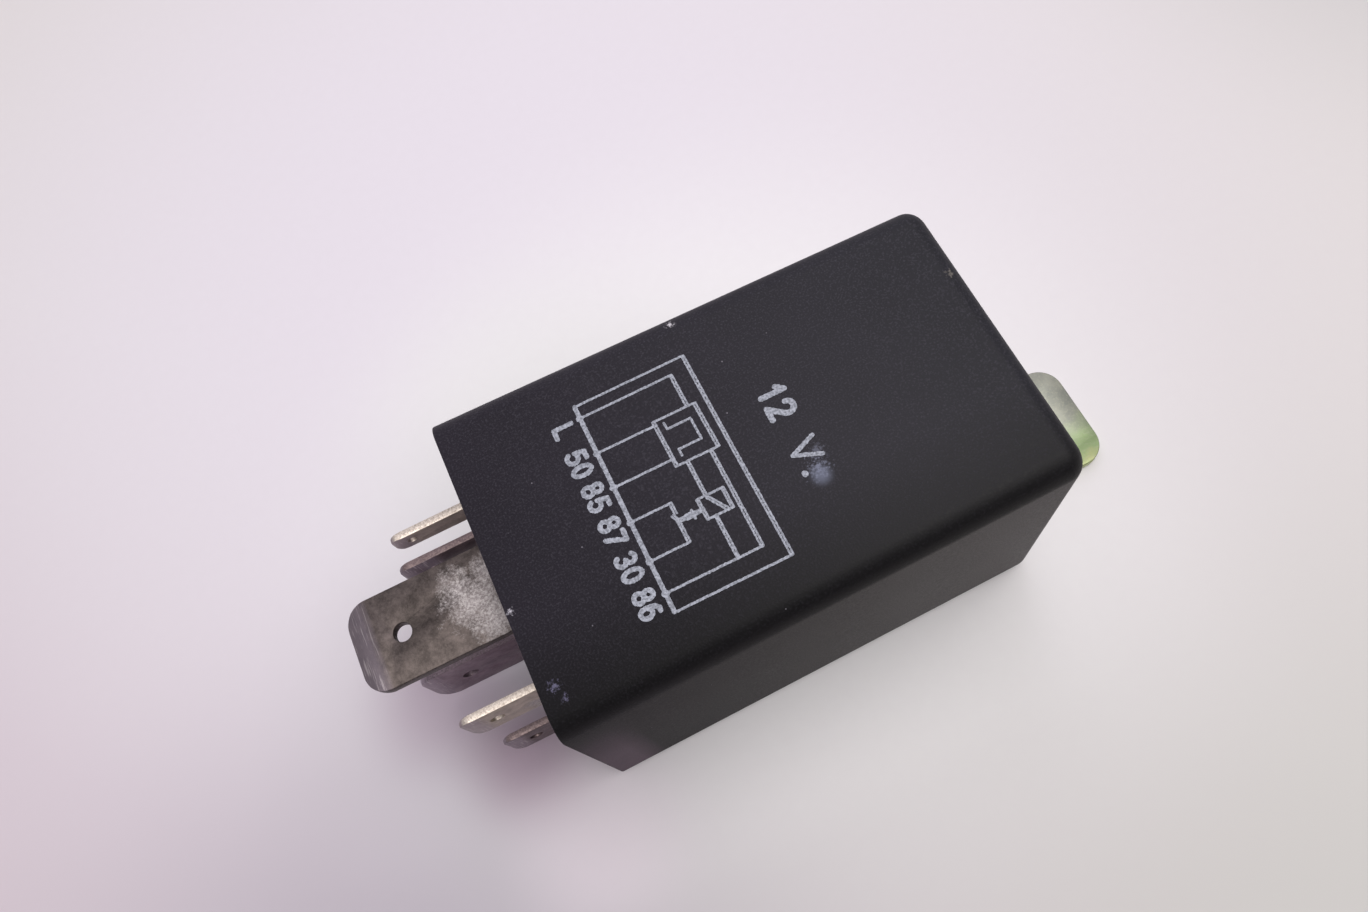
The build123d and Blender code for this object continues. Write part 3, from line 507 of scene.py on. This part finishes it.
# %% Diagram strokes
bus = 0.45
thin = 0.25
link = 0.5
half_line = 0.19
side_by_side = 0.24  # the two halves of a wide line, from middle to middle
blob = 0.58
diagram = [
    (bus, [(13.78, 11.4), (13.84, 5.9), (13.9, 0.0), (13.95, -6.1), (14.03, -11.4)]),
    (thin, [(13.78, 11.42), (25.5, 11.42)]),
    (thin, [(25.8, -11.46), (14.03, -11.46)]),
    (thin, [(13.8, 10.05), (23.58, 10.05)]),
    (thin, [(19.98, 6.3), (24.35, 6.28)]),
    (thin, [(24.48, 1.15), (20.1, 1.15)]),
    (thin, [(13.84, 5.9), (20.0, 5.9)]),
    (thin, [(13.88, 1.95), (20.05, 1.95)]),
    (thin, [(20.85, 5.75), (20.9, 5.02), (23.35, 5.02), (23.4, 2.62), (21.0, 2.62), (21.02, 1.9)]),
    (thin, [(20.38, -2.75), (23.0, -2.75)]),
    (thin, [(23.02, -4.95), (20.5, -4.95)]),
    (thin, [(14.0, -9.52), (23.8, -9.52)]),
    (thin, [(13.9, -1.92), (18.0, -1.92)]),
    (thin, [(17.98, -6.15), (13.95, -6.15)]),
    (link, [(17.95, -3.85), (20.4, -3.88)]),
    (0.7, [(18.85, -3.86), (19.4, -3.86)]),
    (0.3, [(19.45, -3.45), (19.47, -4.3)]),
]
print(len(diagram), "plain lines")

# %% Double lines and blobs
for (x0, y0), (x1, y1) in (
    ((25.5, 11.42), (25.62, 0.0)), ((25.62, 0.0), (25.8, -11.46)), ((23.58, 10.05), (23.62, 6.35)),
    ((24.35, 6.28), (24.48, 1.15)), ((20.1, 1.15), (19.98, 6.3)), ((21.22, 1.15), (21.28, -2.75)),
    ((23.68, 1.15), (23.78, -9.52)), ((23.0, -2.75), (23.02, -4.95)), ((20.5, -4.95), (20.38, -2.75)),
    ((21.3, -2.9), (22.55, -4.85)), ((21.28, -4.95), (21.35, -9.5)), ((18.0, -1.92), (18.02, -3.1)),
    ((17.95, -3.75), (17.98, -6.15)), ((17.66, -3.1), (17.95, -3.75)),
):
    length = math.hypot(x1 - x0, y1 - y0)
    aside_x, aside_y = (y0 - y1) / length * side_by_side / 2, (x1 - x0) / length * side_by_side / 2
    for side in (-1, 1):
        shift_x, shift_y = side * aside_x, side * aside_y
        diagram.append((half_line, [(x0 + shift_x, y0 + shift_y), (x1 + shift_x, y1 + shift_y)]))
for x, y in ((13.62, 10.05), (13.68, 5.9), (13.72, 1.95), (13.76, -1.92), (13.8, -6.15), (13.86, -9.52)):
    diagram.append((blob, [(x + 0.05, y), (x + 0.25, y)]))
wiring = inked_mesh("wiring_diagram", diagram, grid_square, 0.016, 2.0)
print("wiring_diagram", len(wiring.data.polygons), "faces")

# %% [markdown]
# ### Terminal numbers and voltage
# The numbers say which blade is which: 30 is the battery, 87 the switched output, 85 and 86 the coil, 50
# the starter signal and L the lamp. They are drawn as strokes too, with arcs for the round parts, because a
# bold stencil letter whose ends are rounded by the ink looks like a stroke and not like a printer's
# typeface.


# %% Figures as strokes
def arc(cx, cy, rx, ry, start, end, steps=14):
    """Points along part of an ellipse, with angles in degrees from the right, turning left."""
    turns = [math.radians(start + (end - start) * n / steps) for n in range(steps + 1)]
    return [(cx + rx * math.cos(t), cy + ry * math.sin(t)) for t in turns]


figures = {
    "0": [arc(0.5, 0.5, 0.5, 0.5, 0, 360, 24)],
    "1": [[(0.12, 0.72), (0.5, 1.0), (0.5, 0.0)]],
    "2": [arc(0.5, 0.72, 0.5, 0.28, 170, -30, 12) + [(0.0, 0.0), (1.0, 0.0)]],
    "3": [arc(0.45, 0.75, 0.48, 0.25, 150, -90, 12) + arc(0.45, 0.25, 0.55, 0.25, 90, -150, 12)],
    "5": [[(0.92, 1.0), (0.22, 1.0), (0.1, 0.52)] + arc(0.48, 0.3, 0.52, 0.3, 140, -150, 14)],
    "6": [arc(0.5, 0.3, 0.5, 0.3, 0, 360, 20), arc(0.62, 0.42, 0.62, 0.58, 75, 180, 10)],
    "7": [[(0.0, 1.0), (1.0, 1.0), (0.3, 0.0)]],
    "8": [arc(0.5, 0.76, 0.44, 0.24, 0, 360, 18), arc(0.5, 0.26, 0.5, 0.26, 0, 360, 18)],
    "L": [[(0.0, 1.0), (0.0, 0.0), (0.9, 0.0)]],
    "V": [[(0.0, 1.0), (0.5, 0.0), (1.0, 1.0)]],
    ".": [[(0.0, 0.0), (0.05, 0.0)]],
}


def written(figure, foot, head, left, right, width):
    """Strokes of one figure that stands on foot, with its top towards +X, between two places across."""
    strokes = []
    for points in figures[figure]:
        strokes.append((width, [(foot + v * (head - foot), left + u * (right - left)) for u, v in points]))
    return strokes


print(len(figures), "figures drawn as strokes")

# %% Lettering in place
number_height = 1.85
number_stroke = 0.48
labels = []
for figure, foot, left, right in (
    ("L", 10.95, 10.0, 8.95), ("5", 10.95, 7.0, 5.95), ("0", 10.95, 5.4, 4.45), ("8", 11.05, 3.15, 2.2),
    ("5", 11.05, 1.6, 0.6), ("8", 11.1, -0.7, -1.65), ("7", 11.1, -2.2, -3.2), ("3", 11.1, -4.6, -5.5),
    ("0", 11.1, -6.1, -7.1), ("8", 11.15, -8.4, -9.35), ("6", 11.15, -9.95, -10.9),
):
    labels += written(figure, foot, foot + number_height, left, right, number_stroke)
for figure, foot, head, left, right, width in (
    ("1", 30.2, 32.65, 4.3, 2.9, 0.58), ("2", 30.2, 32.7, 2.35, 1.1, 0.6),
    ("V", 30.2, 32.8, -1.95, -4.05, 0.42), (".", 30.4, 32.0, -5.1, -5.6, 0.62),
):
    labels += written(figure, foot, head, left, right, width)
lettering = inked_mesh("terminal_numbers", labels, grid_square, 0.022, 2.1)
print("terminal_numbers", len(lettering.data.polygons), "faces")

# %% [markdown]
# ### The ink
# Screen ink is a matte white paint. The film is thin, so the black case greys it, and it is thinner still
# over each bump of the grain. Noise between two greys at the size of the grain gives that speckle.

# %% White screen ink
ink, tree, shader, where = start_material("white_screen_ink_printed", roughness=0.6)
speck = add(tree, "TexNoise", {"Vector": where, "Scale": per(0.22), "Detail": 3.0}).outputs["Fac"]
wash = add(tree, "TexNoise", {"Vector": where, "Scale": per(2.5)}).outputs["Fac"]
thick = add(tree, "MapRange", {0: speck, 1: 0.35, 2: 0.62}).outputs[0]
tone = add(tree, "Mix", {0: thick, 6: linear("72767f"), 7: linear("b2b7c3")}, data_type="RGBA").outputs[2]
washed = add(tree, "MapRange", {0: wash, 1: 0.3, 2: 0.7, 4: 0.3}).outputs[0]
tone = add(tree, "Mix", {0: washed, 6: tone, 7: linear("888c98")}, data_type="RGBA").outputs[2]
tree.links.new(tone, shader.inputs["Base Color"])
bump = add(tree, "Bump", {"Height": speck, "Distance": 0.01 * MM})
tree.links.new(bump.outputs["Normal"], shader.inputs["Normal"])
for piece in (wiring, lettering):
    piece.data.materials.append(ink)
    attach(piece, "housing")
print("ink on", wiring.name, "and", lettering.name)

# %% [markdown]
# ## Blades
# The blades are stamped from brass strip and tinned. Tin dulls to a grey-brown with handling, and a whitish
# crust of oxide grows near the case, where flux and damp stayed. The tool that coins the tip leaves fine
# lines across it. Tin over brass is a metal with a broad, soft shine, and the crust is a matte salt that is
# no metal, so it takes the metal away where it lies. A crust is a heap of crumbs, as a scuff is.


# %% Mottled tin
def mottled(tree, where, dark, light):
    """Two tones in clouds and in grain, with the grain and a finer noise for the surface."""
    cloudy = {"Vector": where, "Scale": per(1.3), "Detail": 6.0, "Roughness": 0.7}
    cloud = add(tree, "TexNoise", cloudy).outputs["Fac"]
    grainy = {"Vector": where, "Scale": per(0.24), "Detail": 4.0, "Roughness": 0.75}
    grain = add(tree, "TexNoise", grainy).outputs["Fac"]
    fine = add(tree, "TexNoise", {"Vector": where, "Scale": per(0.14)}).outputs["Fac"]
    clouded = add(tree, "MapRange", {0: cloud, 1: 0.38, 2: 0.68}).outputs[0]
    tone = add(tree, "Mix", {0: clouded, 6: linear(dark), 7: linear(light)}, data_type="RGBA").outputs[2]
    paler = add(tree, "MapRange", {0: grain, 1: 0.5, 2: 0.72, 4: 0.55}).outputs[0]
    tone = add(tree, "Mix", {0: paler, 6: tone, 7: linear(light)}, data_type="RGBA").outputs[2]
    darker = add(tree, "MapRange", {0: grain, 1: 0.46, 2: 0.3, 4: 0.5}).outputs[0]
    tone = add(tree, "Mix", {0: darker, 6: tone, 7: linear(dark)}, data_type="RGBA").outputs[2]
    return tone, grain, fine


print("tin is mottled in clouds of 1.3 mm and grain of 0.24 mm")


# %% Scored tip
def scored(tree, where, tone, tip):
    """A tone greyed over the coined tip, with fine bright lines across it, and how strong they are."""
    axis = add(tree, "SeparateXYZ", {"Vector": where})
    near_tip = {0: axis.outputs["X"], 1: tip + 2.6 * MM, 2: tip + 1.6 * MM}
    at_tip = add(tree, "MapRange", near_tip).outputs[0]
    greyed = add(tree, "Math", {0: at_tip, 1: 0.6}, operation="MULTIPLY").outputs[0]
    tone = add(tree, "Mix", {0: greyed, 6: tone, 7: linear("9c919b")}, data_type="RGBA").outputs[2]
    drawn_out = add(tree, "Mapping", {"Vector": where, "Scale": [per(0.16), per(2.6), per(2.6)]})
    streaky = {"Vector": drawn_out.outputs[0], "Scale": 1.0, "Detail": 3.0}
    streaks = add(tree, "TexNoise", streaky).outputs["Fac"]
    sharp = add(tree, "MapRange", {0: streaks, 1: 0.56, 2: 0.68}).outputs[0]
    lines = add(tree, "Math", {0: sharp, 1: at_tip}, operation="MULTIPLY").outputs[0]
    bright = add(tree, "Math", {0: lines, 1: 0.6}, operation="MULTIPLY").outputs[0]
    return add(tree, "Mix", {0: bright, 6: tone, 7: linear("d0c8c8")}, data_type="RGBA").outputs[2], lines


print("the scores run across the tip")


# %% Crusts
def crusted(tree, where, crusts):
    """How thick the oxide crust lies around a few places, and the crumbs that it is made of."""
    near = 0.0
    for centre, radius_mm in crusts:
        gap = {0: distance_from(tree, where, centre), 1: radius_mm * MM, 2: 0.0}
        here = add(tree, "MapRange", gap).outputs[0]
        near = add(tree, "Math", {0: here, 1: near}, operation="MAXIMUM").outputs[0]
    lumpy = {"Vector": where, "Scale": per(1.1), "Detail": 3.0, "Roughness": 0.6}
    lumps = add(tree, "TexNoise", lumpy).outputs["Fac"]
    gritty = {"Vector": where, "Scale": per(0.24), "Detail": 4.0, "Roughness": 0.8}
    crumbs = add(tree, "TexNoise", gritty).outputs["Fac"]
    heap = add(tree, "Math", {0: near, 1: lumps}, operation="ADD").outputs[0]
    heap = add(tree, "Math", {0: crumbs, 1: 0.9, 2: heap}, operation="MULTIPLY_ADD").outputs[0]
    return add(tree, "MapRange", {0: heap, 1: 1.3, 2: 1.85, 4: 0.85}).outputs[0], crumbs


print("crusts fade out over a few millimetres")


# %% Tinned brass
def tinned(name, dark, light, edge, edge_axis, tip, crusts):
    """Tinned strip: mottled grain, a scored tip, oxide crusts around a few places and an edge tone of painted
    light and shade.
    """
    made, tree, shader, where = start_material(name, roughness=0.5, metallic=0.8)
    tone, grain, fine = mottled(tree, where, dark, light)
    tone, lines = scored(tree, where, tone, tip)
    crust, crumbs = crusted(tree, where, crusts)
    heaped = add(tree, "MapRange", {0: crumbs, 1: 0.4, 2: 0.62}).outputs[0]
    salts = {0: heaped, 6: linear("9c9393"), 7: linear("dcd6d4")}
    salt = add(tree, "Mix", salts, data_type="RGBA").outputs[2]
    tone = add(tree, "Mix", {0: crust, 6: tone, 7: salt}, data_type="RGBA").outputs[2]
    # Painted light and shade on the edges: the faces that face along one axis take the edge tone, a painted
    # highlight on some blades and painted shade on others.
    side = add(tree, "SeparateXYZ", {"Vector": add(tree, "TexCoord").outputs["Normal"]}).outputs[edge_axis]
    side = add(tree, "Math", {0: side}, operation="ABSOLUTE").outputs[0]
    patchy = add(tree, "MapRange", {0: grain, 1: 0.35, 2: 0.65}).outputs[0]
    painted_edge_tone = add(tree, "Mix", {0: patchy, 6: linear(edge), 7: linear(light)}, data_type="RGBA").outputs[2]
    on_edge = add(tree, "MapRange", {0: side, 1: 0.75, 2: 0.95}).outputs[0]
    tone = add(tree, "Mix", {0: on_edge, 6: tone, 7: painted_edge_tone}, data_type="RGBA").outputs[2]
    tree.links.new(tone, shader.inputs["Base Color"])
    metal = add(tree, "MapRange", {0: crust, 2: 0.8, 3: 0.8, 4: 0.1}).outputs[0]
    tree.links.new(metal, shader.inputs["Metallic"])
    rough = add(tree, "MapRange", {0: grain, 1: 0.3, 2: 0.7, 3: 0.4, 4: 0.58}).outputs[0]
    rough = add(tree, "Math", {0: crust, 1: 0.25, 2: rough}, operation="MULTIPLY_ADD").outputs[0]
    tree.links.new(rough, shader.inputs["Roughness"])
    relief = add(tree, "Math", {0: crust, 1: 1.5, 2: fine}, operation="MULTIPLY_ADD").outputs[0]
    relief = add(tree, "Math", {0: lines, 1: -0.8, 2: relief}, operation="MULTIPLY_ADD").outputs[0]
    bump = add(tree, "Bump", {"Height": relief, "Distance": 0.012 * MM})
    tree.links.new(bump.outputs["Normal"], shader.inputs["Normal"])
    return made


print("tin takes two tones, an edge tone and its crusts")

# %% [markdown]
# The wide blade nearest the printed face lies flat, so its broad side looks up, and its edges are painted
# near black, a painted dark reflection. The others stand on edge, and the second wide blade's edges are
# painted dim, as painted shade. The four light blades share one tin: the two nearest the printed face have
# near-white edges, a painted highlight, and the two that lie deeper in the case are painted darker all over,
# as painted shade, with paler edges as a painted highlight.

# %% Six blades
tip_87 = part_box("blade_87")[0].x
tip_86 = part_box("blade_86")[0].x
# Flat blade: its near-black edge tone is a painted dark reflection.
flat_tin = tinned("tinned_brass_blade_stamped", "4a4340", "746a66", "1d1617", "Y", tip_87,
                  [(place(-4.2, 1.6, 29.2), 3.6), (place(-3.1, -0.5, 29.2), 5.0),
                   (place(-1.8, -2.7, 29.2), 4.6), (place(-1.0, 1.8, 29.2), 3.4)])
# Second wide blade: its dim edge tone is painted shade.
edge_tin = tinned("tinned_brass_blade_on_edge", "7c6c76", "a09098", "6f6268", "Z", tip_87,
                  [(place(-3.0, -0.6, 6.0), 3.0)])
# Light blades nearest the printed face: near-white edges, a painted highlight.
lit_tin = tinned("tinned_brass_blade_lit", "94897d", "bbaea1", "fff5e8", "Z", tip_86,
                   [(place(-2.0, -10.2, 23.0), 3.0)])
# Deeper blades: the same tin painted darker as painted shade, with paler edges as a painted highlight.
shaded_tin = tinned("tinned_brass_blade_painted_shade", "4d4244", "746566", "a3918f", "Z", tip_86,
                  [(place(-2.0, -10.2, 9.0), 3.0)])
softened("blade_87", "blade_87_stamped", 0.08, flat_tin)
softened("blade_30", "blade_30_stamped", 0.08, edge_tin)
for node, tin in (
    ("blade_86", lit_tin), ("blade_lamp", lit_tin), ("blade_85", shaded_tin), ("blade_50", shaded_tin),
):
    softened(node, node + "_stamped", 0.06, tin)
print("blades done")

# %% [markdown]
# ## Bracket
# The bracket is mild steel strip, zinc plated and then dipped in yellow passivate. It drained to one side
# after the dip, so the film is thicker there, and goes from grey through green to yellow. The colour
# follows the distance across the bracket, pushed about by slow noise. It is a metal with a soft satin
# shine.

# %% Passivated steel
passivated, tree, shader, where = start_material("zinc_yellow_passivated_steel", roughness=0.42, metallic=0.9)
slow = {"Vector": where, "Scale": per(4.0), "Detail": 4.0, "Roughness": 0.6}
drift = add(tree, "TexNoise", slow).outputs["Fac"]
fine = add(tree, "TexNoise", {"Vector": where, "Scale": per(0.3), "Detail": 3.0}).outputs["Fac"]
axis = add(tree, "SeparateXYZ", {"Vector": where})
drained = add(tree, "Math", {0: drift, 1: -9 * MM, 2: axis.outputs["Y"]}, operation="MULTIPLY_ADD").outputs[0]
greyish = add(tree, "MapRange", {0: drift, 1: 0.35, 2: 0.65}).outputs[0]
tone = add(tree, "Mix", {0: greyish, 6: linear("8a8d84"), 7: linear("a3a496")}, data_type="RGBA").outputs[2]
green = add(tree, "MapRange", {0: drained, 1: -6.5 * MM, 2: -11.5 * MM}).outputs[0]
tone = add(tree, "Mix", {0: green, 6: tone, 7: linear("9aae80")}, data_type="RGBA").outputs[2]
yellow = add(tree, "MapRange", {0: drained, 1: -12.5 * MM, 2: -15.0 * MM, 4: 0.7}).outputs[0]
tone = add(tree, "Mix", {0: yellow, 6: tone, 7: linear("c8be8c")}, data_type="RGBA").outputs[2]
pale = add(tree, "MapRange", {0: fine, 1: 0.5, 2: 0.75, 4: 0.4}).outputs[0]
tone = add(tree, "Mix", {0: pale, 6: tone, 7: linear("b9bba6")}, data_type="RGBA").outputs[2]
tree.links.new(tone, shader.inputs["Base Color"])
print("grey, then green, then yellow across", passivated.name)

# %% Bracket and its rivet
rough = add(tree, "MapRange", {0: fine, 1: 0.3, 2: 0.7, 3: 0.38, 4: 0.54}).outputs[0]
tree.links.new(rough, shader.inputs["Roughness"])
bump = add(tree, "Bump", {"Height": fine, "Distance": 0.01 * MM})
tree.links.new(bump.outputs["Normal"], shader.inputs["Normal"])
softened("mounting_bracket", "mounting_bracket_bent", 0.12, passivated)
softened("bracket_rivet", "bracket_rivet_headed", 0.1, passivated, turn=50)
print("bracket done")

# %% [markdown]
# ## Everything else
# The pieces inside are hidden by the case, but the relay can be opened, so each one has a finish of its
# own. They share one recipe, two tones with a fine grain, and differ in colours, shine and grain size.


# %% Two-tone finish
def two_tone(name, dark, light, grain_mm, roughness, metallic=0.0):
    """A finish of two tones in grain of a given size, with its roughness and bump from the same grain."""
    made, tree, shader, where = start_material(name, roughness, metallic)
    fine = add(tree, "TexNoise", {"Vector": where, "Scale": per(grain_mm), "Detail": 3.0}).outputs["Fac"]
    patchy = add(tree, "MapRange", {0: fine, 1: 0.35, 2: 0.65}).outputs[0]
    tone = add(tree, "Mix", {0: patchy, 6: linear(dark), 7: linear(light)}, data_type="RGBA").outputs[2]
    tree.links.new(tone, shader.inputs["Base Color"])
    shine = {0: fine, 1: 0.3, 2: 0.7, 3: roughness - 0.07, 4: roughness + 0.07}
    tree.links.new(add(tree, "MapRange", shine).outputs[0], shader.inputs["Roughness"])
    bump = add(tree, "Bump", {"Height": fine, "Distance": 0.01 * MM})
    tree.links.new(bump.outputs["Normal"], shader.inputs["Normal"])
    return made


print("two-tone finishes differ in colours, grain and shine")

# %% Finishes of the pieces inside
finishes = {
    "base_plate": two_tone("black_nylon_base_moulded", "232226", "2f2e33", 0.4, 0.55),
    "circuit_board": two_tone("green_masked_laminate", "1f4a2a", "2b6338", 1.2, 0.35),
    "magnet": two_tone("nickel_plated_iron_stamped", "8e8d89", "a9a8a4", 0.6, 0.35, 1.0),
    "bobbin": two_tone("natural_nylon_moulded", "cfc7ad", "ddd6bf", 0.8, 0.45),
    "coil_pins": two_tone("tinned_wire_drawn", "a8a6a2", "bdbbb7", 0.4, 0.3, 1.0),
    "contact_arm": two_tone("phosphor_bronze_rolled", "b07c50", "c69364", 0.5, 0.3, 1.0),
    "rivets": two_tone("zinc_plated_rivet_headed", "98989a", "b2b2b4", 0.4, 0.35, 1.0),
    "contacts": two_tone("silver_alloy_contact_pressed", "b9b8b4", "d2d1cd", 0.4, 0.3, 1.0),
    "return_spring": two_tone("spring_steel_wire_drawn", "7e7f82", "97989b", 0.3, 0.3, 1.0),
    "timer_chip": two_tone("black_epoxy_chip_moulded", "1d1d1f", "29292c", 0.3, 0.55),
    "transistor": two_tone("black_epoxy_transistor_moulded", "1b1b1c", "262628", 0.3, 0.5),
    "diode": two_tone("black_epoxy_diode_moulded", "1c1c1e", "2a2a2c", 0.3, 0.4),
    "resistors": two_tone("beige_lacquer_dipped", "b79f72", "cbb58a", 0.6, 0.35),
    "capacitors": two_tone("blue_sleeved_aluminium_can", "24345f", "2f4376", 0.8, 0.25),
    "coil_winding": two_tone("enamelled_copper_wound", "8c3f1c", "b3562a", 0.5, 0.25, 1.0),
    "copper_braid": two_tone("bare_copper_braided", "8f5436", "b8734f", 0.5, 0.45, 1.0),
}
shared = {"yoke": "magnet", "core": "magnet", "armature": "magnet", "arm_rivets": "rivets",
          "rivet_washer": "rivets", "moving_contact": "contacts", "fixed_contact": "contacts",
          "timing_capacitor": "capacitors", "supply_capacitor": "capacitors"}
for node, shown in frame["nodes"].items():
    if shown.hide_render:
        continue
    finish = finishes[shared.get(node, node)]
    for material_slot in shown.material_slots:
        material_slot.material = finish
print("finishes on", sum(not o.hide_render for o in frame["nodes"].values()), "CAD nodes")

# %% [markdown]
# ## The spring and the braid, which give way
# One end of each stays in the housing and the other travels with the armature: the coil spring stretches by a
# third of a millimetre and the braid gives way by one. The CAD solids are rigid. Here each is a plain copy of
# its CAD mesh, moved into world coordinates and given its finish, that stands in place of the node. The
# braid's mesh has no points along its straight run.


# %% Flexing pieces
def flexing(node, name):
    """A copy of a CAD node in world coordinates, with its finish, that stands in place of the node."""
    mesh = frame["nodes"][node].data.copy()
    mesh.name = name
    mesh.materials.clear()
    mesh.materials.append(finishes[node])
    piece = bpy.data.objects.new(name, mesh)
    bpy.context.scene.collection.objects.link(piece)
    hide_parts(node)
    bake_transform(piece)
    return piece


spring = flexing("return_spring", "return_spring_stretching")
braid = flexing("copper_braid", "copper_braid_folding")
print("flexing:", spring.name, "and", braid.name)
